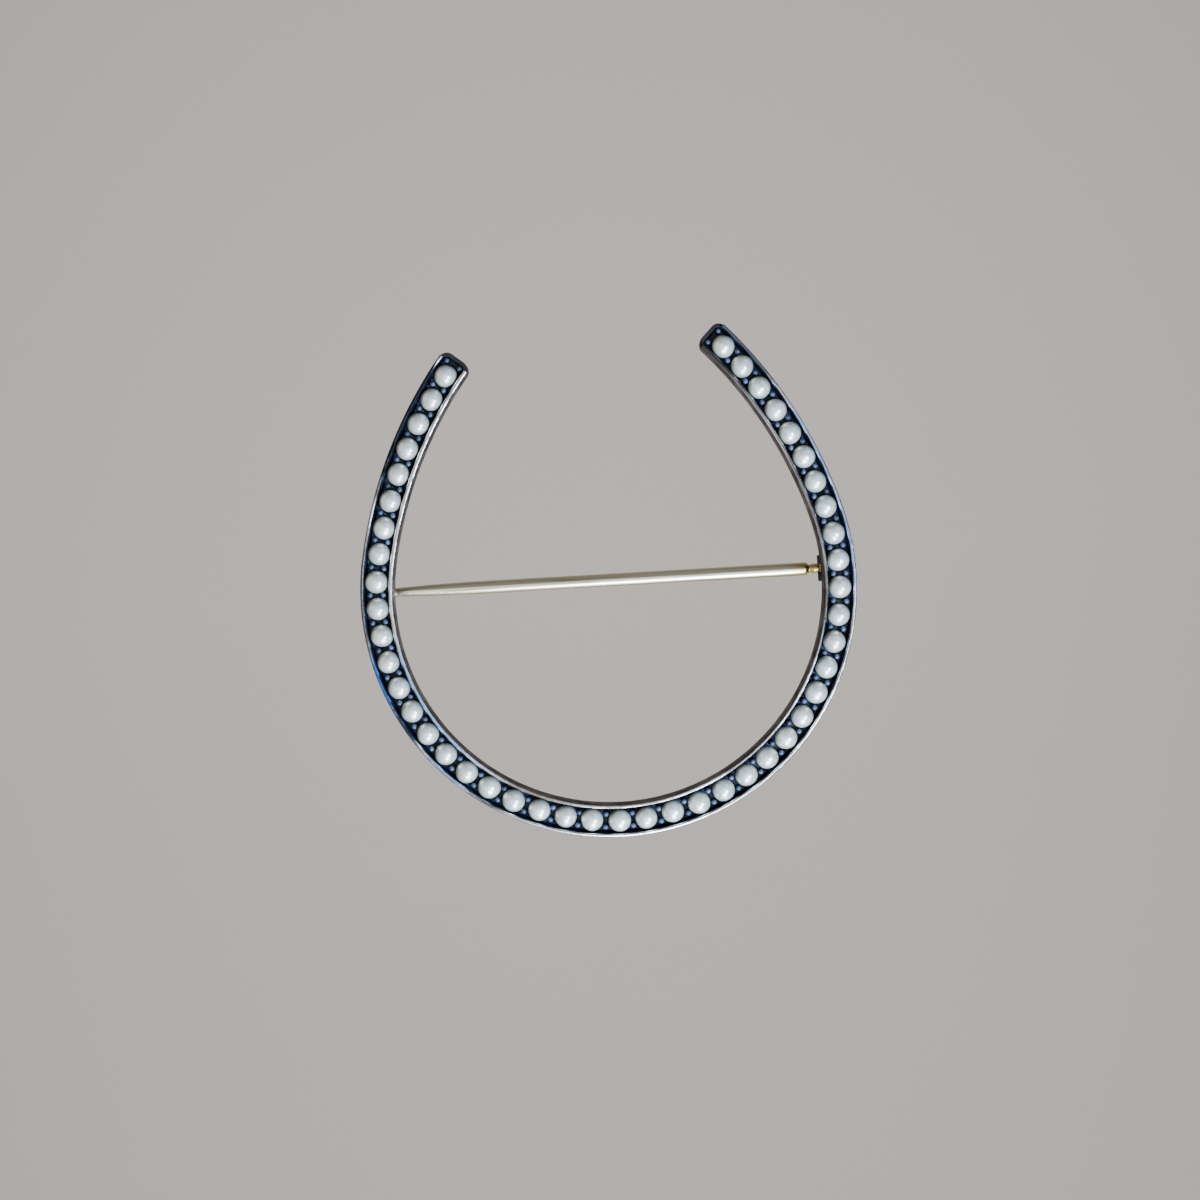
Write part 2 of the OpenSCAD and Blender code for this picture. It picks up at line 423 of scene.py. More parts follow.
def seedPearl():
    # Small cream grey pearls, nacre grown in fine layers: a soft deep gloss; greener and darker towards the rim as
    # seen from the camera, partly nacre tint and partly painted shade
    material, tree, shader, place = newMaterial("seedPearl")
    patches = addNode(
        tree,
        "ShaderNodeTexNoise",
        {"Scale": 1 / (pearlFinish["patchSize"] * mm), "Detail": 2.0},
        {"Vector": place},
    )
    tone = addNode(tree, "ShaderNodeValToRGB", None, {"Fac": patches.outputs["Fac"]})
    setRamp(tone, [(0.38, pearlFinish["grey"]), (0.5, pearlFinish["cream"]), (0.62, pearlFinish["rose"])])
    mottle = addNode(
        tree,
        "ShaderNodeTexNoise",
        {"Scale": 1 / (pearlFinish["mottleSize"] * mm), "Detail": 4.0, "Roughness": 0.6},
        {"Vector": place},
    )
    amount = addNode(
        tree,
        "ShaderNodeMapRange",
        {"From Min": 0.42, "From Max": 0.66, "To Min": 0.0, "To Max": pearlFinish["mottle"]},
        {"Value": mottle.outputs["Fac"]},
    )
    spotted = mixColour(tree, amount.outputs["Result"], tone.outputs["Color"], pearlFinish["olive"])
    # Painted shade: towards the edge seen from the camera the colour turns to the darker, greener edge tint
    facing = addNode(tree, "ShaderNodeLayerWeight", {"Blend": 0.5})
    skin = addNode(tree, "ShaderNodeTexNoise", {"Scale": 1 / (0.4 * mm), "Detail": 2.0}, {"Vector": place})
    bump = addNode(
        tree, "ShaderNodeBump", {"Strength": 0.22, "Distance": 0.03 * mm}, {"Height": skin.outputs["Fac"]}
    )
    shader.inputs["Metallic"].default_value = pearlFinish["sheen"]
    shader.inputs["Roughness"].default_value = pearlFinish["roughness"]
    shader.inputs["IOR"].default_value = 1.66
    shader.inputs["Subsurface Weight"].default_value = 0.2
    shader.inputs["Subsurface Radius"].default_value = (1.0, 0.9, 0.75)
    shader.inputs["Subsurface Scale"].default_value = 0.2 * mm
    shader.inputs["Coat Weight"].default_value = 0.6
    shader.inputs["Coat Roughness"].default_value = 0.25
    shader.inputs["Coat IOR"].default_value = 1.6
    tree.links.new(
        mixColour(tree, facing.outputs["Facing"], spotted, pearlFinish["edge"]),
        shader.inputs["Base Color"],
    )
    tree.links.new(bump.outputs["Normal"], shader.inputs["Normal"])
    return material


wireFinish = {
    "pale": "#E6DDC0",
    "brown": "#A39571",
    "gold": "#D3B877",
    "goldPlace": (16.8, 1.2, -0.85),
    "goldReach": 3.0,
    "roughness": (0.2, 0.32),
}


def drawnWire():
    # Pale nickel brass wire, drawn through a plate: faint lengthwise lines, golden by the hinge
    material, tree, shader, place = newMaterial("drawnWire")
    along = addNode(
        tree,
        "ShaderNodeMapping",
        {"vector_type": "TEXTURE", "Rotation": (0, math.radians(pin["slope"]), 0), "Scale": (30.0, 1.0, 1.0)},
        {"Vector": place},
    )
    lines = addNode(
        tree, "ShaderNodeTexNoise", {"Scale": 1 / (0.3 * mm), "Detail": 3.0}, {"Vector": along.outputs["Vector"]}
    )
    tone = addNode(tree, "ShaderNodeValToRGB", None, {"Fac": lines.outputs["Fac"]})
    setRamp(tone, [(0.32, wireFinish["brown"]), (0.5, wireFinish["pale"])])
    low, high = wireFinish["roughness"]
    rough = addNode(
        tree,
        "ShaderNodeMapRange",
        {"From Min": 0.3, "From Max": 0.7, "To Min": high, "To Max": low},
        {"Value": lines.outputs["Fac"]},
    )
    bump = addNode(
        tree, "ShaderNodeBump", {"Strength": 0.15, "Distance": 0.006 * mm}, {"Height": lines.outputs["Fac"]}
    )
    shader.inputs["Metallic"].default_value = 1.0
    tree.links.new(
        mixColour(
            tree,
            nearPoint(tree, place, wireFinish["goldPlace"], wireFinish["goldReach"]),
            tone.outputs["Color"],
            wireFinish["gold"],
        ),
        shader.inputs["Base Color"],
    )
    tree.links.new(rough.outputs["Result"], shader.inputs["Roughness"])
    tree.links.new(bump.outputs["Normal"], shader.inputs["Normal"])
    return material


# Where things lie along the row of pearls
bottomCentre = Vector((0, 0, row["centreHeight"]))
bottomTurn = math.radians(row["bottomTurn"])
bottomLength = row["bottomRadius"] * bottomTurn
armCentre = bottomCentre + (row["armRadius"] - row["bottomRadius"]) * Vector(
    (-math.sin(bottomTurn), 0, math.cos(bottomTurn))
)
rowHalf = (row["pearlCount"] - 1) / 2 * row["pitch"]
rowEnd = rowHalf + row["tipLength"]


def alongRow(distance):
    # A frame on the pearl line, in mm: X along the row to the right tip, Y to the back
    side = -1 if distance < 0 else 1
    reach = abs(distance)
    if reach < bottomLength:
        turn, centre, radius = reach / row["bottomRadius"], bottomCentre, row["bottomRadius"]
    else:
        turn = bottomTurn + (reach - bottomLength) / row["armRadius"]
        centre, radius = armCentre, row["armRadius"]
    x = side * (centre.x + radius * math.sin(turn))
    z = centre.z - radius * math.cos(turn)
    return Matrix.Translation((x, 0, z)) @ Matrix.Rotation(-side * turn, 4, "Y")


def rowPlace(point):
    # How far along the row a point lies, and how far outside the pearl line, in mm
    x, z = abs(point[0]) / mm, point[2] / mm
    turn = math.atan2(x, bottomCentre.z - z)
    if turn < bottomTurn:
        return turn * row["bottomRadius"], math.hypot(x, z - bottomCentre.z) - row["bottomRadius"]
    turn = math.atan2(x - armCentre.x, armCentre.z - z) - bottomTurn
    return (
        bottomLength + turn * row["armRadius"],
        math.hypot(x - armCentre.x, z - armCentre.z) - row["armRadius"],
    )


# Modelling helpers
def clearSelection():
    if bpy.context.object and bpy.context.object.mode == "EDIT":
        bpy.ops.object.mode_set(mode="OBJECT")
    bpy.ops.object.select_all(action="DESELECT")


def only(piece):
    clearSelection()
    piece.select_set(True)
    bpy.context.view_layer.objects.active = piece


def edit(piece, mode="FACE"):
    only(piece)
    bpy.ops.object.mode_set(mode="EDIT")
    bpy.ops.mesh.select_mode(type=mode)


def pick(piece, kind, test):
    # Selects the verts, edges or faces that pass a test, in edit mode
    mesh = bmesh.from_edit_mesh(piece.data)
    for item in (*mesh.verts, *mesh.edges, *mesh.faces):
        item.select_set(False)
    found = [item for item in getattr(mesh, kind) if test(item)]
    for item in found:
        item.select_set(True)
    mesh.select_flush_mode()
    bmesh.update_edit_mesh(piece.data)
    return len(found)


def cleanMesh(piece, gap=1e-7):
    edit(piece, "VERT")
    bpy.ops.mesh.select_all(action="SELECT")
    bpy.ops.mesh.remove_doubles(threshold=gap)
    bpy.ops.mesh.normals_make_consistent(inside=False)
    bpy.ops.object.mode_set(mode="OBJECT")


def applyModifier(piece, kind, settings):
    only(piece)
    modifier = piece.modifiers.new(kind.title(), kind)
    for key, value in settings.items():
        setattr(modifier, key, value)
    bpy.ops.object.modifier_apply(modifier=modifier.name)


def roundEdges(piece, width, segments=2, angle=35):
    applyModifier(
        piece,
        "BEVEL",
        {
            "width": width * mm,
            "segments": segments,
            "limit_method": "ANGLE",
            "angle_limit": math.radians(angle),
            "miter_outer": "MITER_ARC",
        },
    )


def combine(piece, other, operation):
    # Adds the other shape to a piece or cuts it away, and removes the other
    applyModifier(piece, "BOOLEAN", {"object": other, "operation": operation, "solver": "EXACT"})
    bpy.data.objects.remove(other)


def settle(piece, matrix=None):
    # Puts the place of a piece in its mesh and leaves its object at the origin
    if matrix:
        piece.matrix_world = inMetres(matrix) @ piece.matrix_world
    only(piece)
    bpy.ops.object.transform_apply(location=True, rotation=True, scale=True)


def inMetres(matrix):
    # The same move with its distances in metres
    return Matrix.Translation(matrix.to_translation() * mm) @ matrix.to_3x3().to_4x4()


def join(pieces, name):
    clearSelection()
    for piece in pieces:
        piece.select_set(True)
    bpy.context.view_layer.objects.active = pieces[0]
    bpy.ops.object.join()
    pieces[0].name = pieces[0].data.name = name
    return pieces[0]


def copyTo(source, matrix, name):
    # A copy with its own mesh, moved by a matrix in mm and settled there
    clone = bpy.data.objects.new(name, source.data.copy())
    bpy.context.scene.collection.objects.link(clone)
    clone.data.transform(inMetres(matrix))
    clone.data.name = name
    return clone


def smooth(piece, angle=40):
    only(piece)
    bpy.ops.object.shade_smooth_by_angle(angle=math.radians(angle))


def turned(name, sides, profile):
    # A round shape drawn up from a circle; profile holds (height, radius) or (height, radiusX, radiusY)
    clearSelection()
    first = profile[0]
    bpy.ops.mesh.primitive_circle_add(
        vertices=sides, radius=first[1] * mm, fill_type="NGON", location=(0, 0, first[0] * mm)
    )
    piece = bpy.context.object
    piece.name = name
    settle(piece)
    edit(piece)
    bpy.ops.mesh.select_all(action="SELECT")
    for last, step in zip(profile, profile[1:]):
        bpy.ops.mesh.extrude_region_move(
            TRANSFORM_OT_translate={"value": (0, 0, (step[0] - last[0]) * mm)}
        )
        bpy.ops.transform.resize(
            value=(step[1] / last[1], step[-1] / last[-1], 1), center_override=(0, 0, step[0] * mm)
        )
    cleanMesh(piece)
    return piece


def plate(name, steps):
    # A four sided shape drawn up along Y; steps hold (y, width along X, thickness along Z)
    clearSelection()
    first = steps[0]
    bpy.ops.mesh.primitive_plane_add(size=1, location=(0, first[0] * mm, 0), rotation=(math.pi / 2, 0, 0))
    piece = bpy.context.object
    piece.name = name
    piece.scale = (first[1] * mm, first[2] * mm, 1)
    settle(piece)
    edit(piece)
    bpy.ops.mesh.select_all(action="SELECT")
    for last, step in zip(steps, steps[1:]):
        bpy.ops.mesh.extrude_region_move(
            TRANSFORM_OT_translate={"value": (0, (step[0] - last[0]) * mm, 0)}
        )
        bpy.ops.transform.resize(
            value=(step[1] / last[1], 1, step[2] / last[2]), center_override=(0, step[0] * mm, 0)
        )
    cleanMesh(piece)
    return piece


def barrel(name, radius, depth, location, rotation=(0, 0, 0), sides=40):
    clearSelection()
    bpy.ops.mesh.primitive_cylinder_add(
        vertices=sides,
        radius=radius * mm,
        depth=depth * mm,
        location=Vector(location) * mm,
        rotation=rotation,
    )
    bpy.context.object.name = name
    settle(bpy.context.object)
    return bpy.context.object


def dress(piece, body, slot, nodes, *materials):
    piece.data.materials.clear()
    for material in materials:
        piece.data.materials.append(material)
    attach(piece, body)
    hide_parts(*nodes)


# The channel band
band = {
    "innerSide": 1.28,
    "outerSide": 1.22,
    "depth": 1.85,
    "floor": 0.5,
    "channelHalf": 0.95,
    "cornerRadius": 0.7,
    "edgeRound": 0.13,
    "polishedShare": 0.4,
    "outerPolishedShare": 0.12,
    "rimMiddle": 1.08,
    "stepsRound": 150,
    "stepsArm": 40,
    "lastCell": 1.15,
    "rimReach": 1.1,
    "endWallHeight": 1.4,
}


def makeBand():
    clearSelection()
    shift = (band["innerSide"] - band["outerSide"]) / 2
    start = row["centreHeight"] - row["bottomRadius"] + shift
    bpy.ops.mesh.primitive_plane_add(
        size=1, location=(0, -band["depth"] / 2 * mm, start * mm), rotation=(0, math.pi / 2, 0)
    )
    piece = bpy.context.object
    piece.name = "silverBand"
    piece.scale = ((band["innerSide"] + band["outerSide"]) * mm, band["depth"] * mm, 1)
    settle(piece)
    edit(piece)
    # One half is spun from the bottom to the tip in three runs, then mirrored
    bpy.ops.mesh.select_all(action="SELECT")
    lastTurn = band["lastCell"] / row["armRadius"]
    armTurn = (rowEnd - bottomLength) / row["armRadius"] - lastTurn
    for steps, turn, centre in (
        (band["stepsRound"], bottomTurn, bottomCentre),
        (band["stepsArm"], armTurn, armCentre),
        (1, lastTurn, armCentre),
    ):
        bpy.ops.mesh.spin(steps=steps, angle=turn, center=centre * mm, axis=(0, 1, 0))
    pick(piece, "faces", lambda f: all(abs(v.co.x) < 1e-7 for v in f.verts))
    bpy.ops.mesh.delete(type="ONLY_FACE")
    applyModifier(piece, "MIRROR", {"use_axis": (True, False, False), "merge_threshold": 1e-6})
    cleanMesh(piece)
    # Rounded corners at the tips
    edit(piece, "EDGE")
    tips = [alongRow(s * rowEnd).to_translation() * mm for s in (-1, 1)]

    def atTip(edge):
        a, b = edge.verts[0].co, edge.verts[1].co
        across = math.hypot(a.x - b.x, a.z - b.z) < 1e-7
        near = min(math.hypot(a.x - t.x, a.z - t.z) for t in tips) < 1.05 * band["innerSide"] * mm
        return across and near

    pick(piece, "edges", atTip)
    bpy.ops.mesh.bevel(offset=band["cornerRadius"] * mm, segments=8, affect="EDGES")
    # The channel is inset in the front and pushed in
    bpy.ops.mesh.select_mode(type="FACE")
    pick(piece, "faces", lambda f: f.normal.y < -0.9)
    half = (band["innerSide"] + band["outerSide"]) / 2
    bpy.ops.mesh.inset(thickness=(half - band["channelHalf"]) * mm, use_even_offset=True)
    bpy.ops.mesh.extrude_region_move(
        TRANSFORM_OT_translate={"value": (0, (band["depth"] - band["floor"]) * mm, 0)}
    )
    shiftChannel(piece, shift)
    bpy.ops.object.mode_set(mode="OBJECT")
    roundEdges(piece, band["edgeRound"], 3, 50)
    lowerEnds(piece)
    return piece


def shiftChannel(piece, shift):
    # The inner rim is wider than the outer one: the channel's walls move outward from each arc's centre
    bpy.ops.mesh.select_mode(type="VERT")
    for side, centre, radius in (
        (0, bottomCentre, row["bottomRadius"]),
        (1, armCentre, row["armRadius"]),
        (-1, Vector((-armCentre.x, 0, armCentre.z)), row["armRadius"]),
    ):

        def onWall(vert):
            far, offset = rowPlace(vert.co)
            here = far <= bottomLength + 1e-4 if side == 0 else far > bottomLength + 1e-4
            wall = abs(abs(offset + shift) - band["channelHalf"]) < 2e-3
            return here and wall and (side == 0 or vert.co.x * side > 0)

        pick(piece, "verts", onWall)
        factor = (radius + shift) / radius
        bpy.ops.transform.resize(value=(factor, 1, factor), center_override=centre * mm)


def lowerEnds(piece):
    # The wall across each tip is lower than the rims
    for tip in (-1, 1):
        clearSelection()
        bpy.ops.mesh.primitive_cube_add(size=1)
        block = bpy.context.object
        block.scale = (2 * mm, mm, 4 * mm)
        place = Matrix.Translation((tip * (band["rimReach"] + 1), -band["endWallHeight"] - 0.5, 0))
        settle(block)
        settle(block, alongRow(tip * rowHalf) @ place)
        combine(piece, block, "DIFFERENCE")


def cutSeats(piece):
    # One round seat under each pearl
    seats = []
    for distance in pearlPlaces:
        clearSelection()
        bpy.ops.mesh.primitive_uv_sphere_add(
            segments=24,
            ring_count=16,
            radius=(pearls["diameter"] / 2 + pearls["seatGap"]) * mm,
            location=(alongRow(distance).to_translation() - Vector((0, pearls["height"], 0))) * mm,
        )
        settle(bpy.context.object)
        seats.append(bpy.context.object)
    combine(piece, join(seats, "seatCutter"), "DIFFERENCE")


def paintBand(piece):
    # Rim tops polished, channel blackened, back satin; sides, the rims' rounded edges and the tip tops take the dark
    # finishes, partly tarnish and partly painted shade
    for face in piece.data.polygons:
        far, offset = rowPlace(face.center)
        toPearls = abs(offset) < band["rimMiddle"]
        share = band["polishedShare"] if toPearls else band["outerPolishedShare"]
        inside = abs(offset) < band["channelHalf"] + band["edgeRound"] and far < rowEnd - 0.25
        endTop = far > rowHalf + band["rimReach"] and face.center.y < (0.6 - band["endWallHeight"]) * mm
        # Only a share of each rim's rounding counts as polished; the rest gets the dark finishes as painted shade,
        # which narrows the bright line
        if face.center.y < (band["edgeRound"] * share - band["depth"]) * mm and far < rowHalf + band["rimReach"]:
            face.material_index = 0 if offset < 0 else 1
        elif inside and not endTop and face.center.y < -0.2 * mm:
            face.material_index = 3
        else:
            # Sides and tip tops: dark tarnish that stands in for painted shade
            face.material_index = 4 if face.normal.y > 0.9 else 5 if endTop else 2


# Pearls
pearls = {
    "diameter": 1.76,
    "height": 1.25,
    "seatGap": 0.03,
    "sizes": (0.97, 1.0),
    "drift": 0.035,
    "bumpiness": 0.05,
    "bumpSize": 1.1,
    "seed": 11,
}
pearlPlaces = [(i - (row["pearlCount"] - 1) / 2) * row["pitch"] for i in range(row["pearlCount"])]


def makePearls():
    draw = random.Random(pearls["seed"])
    clearSelection()
    bpy.ops.mesh.primitive_ico_sphere_add(subdivisions=5, radius=pearls["diameter"] / 2 * mm)
    master = bpy.context.object
    lumps = bpy.data.textures.new("pearlLumps", "CLOUDS")
    lumps.noise_scale = pearls["bumpSize"] * mm
    lumps.noise_depth = 0
    for number, distance in enumerate(pearlPlaces, 1):
        size = draw.uniform(*pearls["sizes"])
        drift = [draw.uniform(-1, 1) * pearls["drift"] for axis in range(3)]
        place = (
            alongRow(distance)
            @ Matrix.Translation((drift[0], -pearls["height"] - abs(drift[1]) / 2, drift[2]))
            @ Matrix.Rotation(draw.uniform(0, 6.28), 4, (1, 2, 1))
            @ Matrix.Diagonal((size, size * draw.uniform(0.985, 1.0), size, 1))
        )
        bead = bpy.data.objects.new(f"pearlBead_{number:02d}", master.data.copy())
        bpy.context.scene.collection.objects.link(bead)
        bead.data.transform(Matrix.Diagonal((mm, mm, mm, 1)) @ place @ Matrix.Diagonal((1 / mm, 1 / mm, 1 / mm, 1)))
        bead.data.name = bead.name
        applyModifier(
            bead,
            "DISPLACE",
            {"texture": lumps, "strength": pearls["bumpiness"] * mm, "mid_level": 0.5, "texture_coords": "LOCAL"},
        )
        smooth(bead, 180)
        dress(bead, "brooch", "pearl", [f"pearl_{number:02d}"], nacre)
    bpy.data.objects.remove(master)


# Grains in pairs between the pearls, joined by a low ridge, and two grains at each tip
grains = {
    "diameter": 0.44,
    "tipDiameter": 0.42,
    "side": 0.5,
    "height": 1.3,
    "foot": 0.45,
    "ridgeHeight": 0.95,
    "ridgeThick": 0.16,
    "tipReach": 1.05,
    "tipSide": 0.58,
    "drift": 0.02,
    "seed": 4,
}


def makeGrain(size):
    r, top = size / 2, grains["height"]
    profile = [(grains["foot"], r * 1.25), (grains["foot"] + 0.12, r * 0.95), (top - 0.75 * r, r * 0.86)]
    for angle in (-30, -5, 20, 42, 62, 80):
        a = math.radians(angle)
        profile.append((top + r * math.sin(a), r * math.cos(a)))
    piece = turned("grain", 14, profile)
    settle(piece, Matrix.Rotation(math.pi / 2, 4, "X"))
    return piece


def makeRidge():
    # A low saddle across the channel, lowest in the middle
    clearSelection()
    low, high = grains["foot"], grains["ridgeHeight"]
    bpy.ops.mesh.primitive_cube_add(size=1, location=(0, -(low + high) / 2 * mm, 0))
    piece = bpy.context.object
    piece.scale = (grains["ridgeThick"] * mm, (high - low) * mm, 2 * grains["side"] * mm)
    settle(piece)
    edit(piece, "EDGE")
    pick(piece, "edges", lambda e: abs(e.verts[0].co.z - e.verts[1].co.z) > 0.5 * mm)
    bpy.ops.mesh.subdivide(number_cuts=5)
    bpy.ops.mesh.select_mode(type="VERT")
    span = grains["side"] * mm
    for part in range(1, 6):
        at = (part / 3 - 1) * span
        pick(piece, "verts", lambda v: abs(v.co.z - at) < 1e-6 and v.co.y < -high * 0.99 * mm)
        dip = 0.14 * (1 - (part / 3 - 1) ** 2)
        bpy.ops.transform.translate(value=(0, dip * mm, 0))
    bpy.ops.object.mode_set(mode="OBJECT")
    roundEdges(piece, 0.04, 2, 60)
    return piece


def makeGrains():
    draw = random.Random(grains["seed"])
    big, small, ridge = makeGrain(grains["diameter"]), makeGrain(grains["tipDiameter"]), makeRidge()
    beads, saddles = [], []

    def setGrain(source, distance, side):
        nudge = [draw.uniform(-1, 1) * grains["drift"] for axis in range(2)]
        size = draw.uniform(0.94, 1.03)
        place = alongRow(distance) @ Matrix.Translation((nudge[0], 0, side + nudge[1]))
        beads.append(copyTo(source, place @ Matrix.Diagonal((size, 1, size, 1)), "grainCopy"))

    for distance in pearlPlaces[:-1]:
        gap = distance + row["pitch"] / 2
        setGrain(big, gap, grains["side"])
        setGrain(big, gap, -grains["side"])
        saddles.append(copyTo(ridge, alongRow(gap), "ridgeCopy"))
    for tip in (-1, 1):
        for side in (-1, 1):
            setGrain(small, tip * (rowHalf + grains["tipReach"]), side * grains["tipSide"])
    for source in (big, small, ridge):
        bpy.data.objects.remove(source)
    return join(beads, "settingGrains"), join(saddles, "settingRidges")


# Pin, hinge and catch: all placed on the pin line behind the band
pinLine = Matrix.Translation((0, pin["back"], 0)) @ Matrix.Rotation(math.radians(pin["slope"]), 4, "Y")
alongPin = Matrix.Rotation(math.pi / 2, 4, "Y")


def makePin():
    half = pin["thickness"] / 2
    flatSide, flatBack = pin["knuckleHeight"] / 2, pin["tongue"] / 2
    profile = [
        (-pin["pointReach"], 0.05),
        (-pin["pointReach"] + 0.1, 0.1),
        (-pin["pointReach"] + 0.9, 0.17),
        (-16.8, 0.34),
        (-15.4, 0.4),
        (-13.8, 0.455),
        (-12.3, 0.48),
        (-pin["taperStart"], half - 0.005),
        (-pin["taperStart"] + 0.8, half),
    ]
    profile += [(x, half) for x in (-6, -2, 2, 6, 10, 13, 15)]
    profile += [
        (15.45, half),
        (15.6, half * 0.97),
        (15.7, half * 0.82),
        (15.8, pin["neck"] / 2),
        (15.9, 0.32, 0.33),
        (16.1, flatSide, flatBack * 0.9),
        (16.3, flatSide, flatBack),
        (pin["hingeReach"], flatSide, flatBack),
    ]
    piece = turned("pinWire", 32, profile)
    settle(piece, alongPin)
    knuckle = barrel("knuckle", pin["knuckle"] / 2, pin["knuckleHeight"], (pin["hingeReach"], 0, 0), sides=48)
    roundEdges(knuckle, 0.07, 3)
    combine(piece, knuckle, "UNION")
    bore = pin["rivet"] / 2 + pin["clearance"]
    combine(piece, barrel("bore", bore, 2, (pin["hingeReach"], 0, 0)), "DIFFERENCE")
    settle(piece, pinLine)
    smooth(piece)
    return piece


def makeRivet():
    shaft, head = pin["rivet"] / 2, pin["rivetHead"] / 2
    under, top = pin["headFrom"], pin["headFrom"] + pin["headHeight"]
    dome = [(under, head), (under + 0.05, head * 0.98), (under + 0.12, head * 0.8), (top - 0.02, head * 0.45), (top, 0.06)]
    profile = [(-z, r) for z, r in reversed(dome)] + [(-under, shaft), (under, shaft)] + dome
    piece = turned("rivetPin", 32, profile)
    settle(piece, pinLine @ Matrix.Translation((pin["hingeReach"], 0, 0)))
    smooth(piece, 50)
    return piece


hinge = {
    "lugWidth": 1.4,
    "lugThick": 0.43,
    "lugFrom": 0.42,
    "holeGap": 0.02,
    "solder": 0.22,
}


def makeLugs():
    # Two drilled lugs with a round end, each on its own fillet of solder
    width, thick, rise = hinge["lugWidth"], hinge["lugThick"], -pin["back"]
    lugs = []
    for side in (-1, 1):
        piece = plate(
            "lug",
            [
                (rise - 0.04, width + 2 * hinge["solder"], thick + 1.6 * hinge["solder"]),
                (rise + 0.03, width + 1.5 * hinge["solder"], thick + 1.2 * hinge["solder"]),
                (rise + 0.1, width + 0.8 * hinge["solder"], thick + 0.6 * hinge["solder"]),
                (rise + 0.2, width + 0.3 * hinge["solder"], thick + 0.2 * hinge["solder"]),
                (rise + 0.32, width, thick),
                (width / 2, width, thick),
            ],
        )
        edit(piece, "EDGE")
        pick(piece, "edges", lambda e: all(v.co.y > 0.3 * mm for v in e.verts) and abs(e.verts[0].co.z - e.verts[1].co.z) > thick / 2 * mm)
        bpy.ops.mesh.bevel(offset=(width / 2 - 0.002) * mm, segments=14, affect="EDGES")
        cleanMesh(piece, 1e-6)
        combine(piece, barrel("hole", pin["rivet"] / 2 + hinge["holeGap"], 2, (0, 0, 0)), "DIFFERENCE")
        roundEdges(piece, 0.05, 2, 50)
        settle(piece, Matrix.Translation((pin["hingeReach"], 0, side * (hinge["lugFrom"] + thick / 2))))
        lugs.append(piece)
    piece = join(lugs, "hingeLugs")
    settle(piece, pinLine)
    smooth(piece)
    return piece


catch = {
    "reach": 17.7,
    "length": 1.8,
    "bore": 1.5,
    "outside": 2.5,
    "slot": 1.15,
    "footWidth": 1.1,
    "footLength": 1.3,
    "footHeight": 0.6,
}


def makeCatch():
    # A thick C of wire stock, open to the back, on a soldered foot
    clearSelection()
    middle = (catch["bore"] + catch["outside"]) / 4
    bpy.ops.mesh.primitive_plane_add(size=1, location=(0, -middle * mm, 0))
    piece = bpy.context.object
    piece.scale = (catch["length"] * mm, (catch["outside"] - catch["bore"]) / 2 * mm, 1)
    settle(piece)
    edit(piece)
    bpy.ops.mesh.select_all(action="SELECT")
    bpy.ops.mesh.spin(steps=56, angle=2 * math.pi, center=(0, 0, 0), axis=(1, 0, 0), use_auto_merge=True)
    pick(piece, "faces", lambda f: abs(f.normal.x) < 0.1 and abs(f.calc_center_median().z) < 1e-7 and f.normal.z ** 2 > 0.9)
    bpy.ops.mesh.delete(type="FACE")
    cleanMesh(piece, 1e-6)
    clearSelection()
    bpy.ops.mesh.primitive_cube_add(size=1, location=(0, catch["outside"] / 2 * mm, 0))
    slot = bpy.context.object
    slot.scale = (2 * catch["length"] * mm, catch["outside"] * mm, catch["slot"] * mm)
    settle(slot)
    combine(piece, slot, "DIFFERENCE")
    roundEdges(piece, 0.12, 3, 50)
    rise = -pin["back"]
    length, width = catch["footLength"], catch["footWidth"]
    foot = plate(
        "foot",
        [
            (rise - 0.04, length + 0.4, width + 0.5),
            (rise + 0.04, length + 0.26, width + 0.32),
            (rise + 0.14, length + 0.1, width + 0.12),
            (rise + 0.26, length, width),
            (rise + catch["footHeight"] - 0.04, length, width),
        ],
    )
    roundEdges(foot, 0.05, 2, 50)
    settle(foot, Matrix.Translation((-0.25, 0, 0)))
    combine(piece, foot, "UNION")
    piece.name = "pinCatch"
    settle(piece, pinLine @ Matrix.Translation((-catch["reach"], 0, 0)))
    smooth(piece)
    return piece


# Build
# Both rims carry painted reflections and painted shade at given places
innerRim = polishedSilverPaintedLight("polishedSilverPaintedLight", rimFinish["innerPaintedLight"])
outerRim = polishedSilverPaintedLight("wornSilverPaintedLight", rimFinish["outerPaintedLight"])
# Side walls, and the darker lugs and tip tops: tarnish with painted shade
walls = tarnishAndShadeSilver("tarnishAndShadeSilver", wallTarnishAndShade["brown"], wallTarnishAndShade["light"])
shadeDarkened = tarnishAndShadeSilver("blackenedSilverPaintedShade", wallTarnishAndShade["shadeDarkBrown"], wallTarnishAndShade["shadeDarkPale"])
back, recess = satinSilver(), oxidisedSilver()
grainSilver, nacre, wire = burnishedGrainPaintedHighlight(), seedPearl(), drawnWire()
print("Materials made")

bandPiece = makeBand()
cutSeats(bandPiece)
dress(bandPiece, "brooch", "oxidised_silver", ["frame"], innerRim, outerRim, walls, recess, back, shadeDarkened)
paintBand(bandPiece)
smooth(bandPiece, 30)
print("Band made:", len(bandPiece.data.polygons), "faces")

makePearls()
print("Pearls made:", row["pearlCount"])

beads, saddles = makeGrains()
for piece in (beads, saddles):
    dress(piece, "brooch", "oxidised_silver", ["frame"], grainSilver)
    smooth(piece)
print("Grains and ridges made")

dress(makePin(), "pin", "pin_wire", ["pin"], wire)
dress(makeRivet(), "brooch", "pin_wire", ["hinge_rivet"], wire)
# The lugs take the darkest finish, which is painted shade
dress(makeLugs(), "brooch", "oxidised_silver", ["frame"], shadeDarkened)
dress(makeCatch(), "brooch", "oxidised_silver", ["frame"], back)
print("Pin, rivet, hinge and catch made")


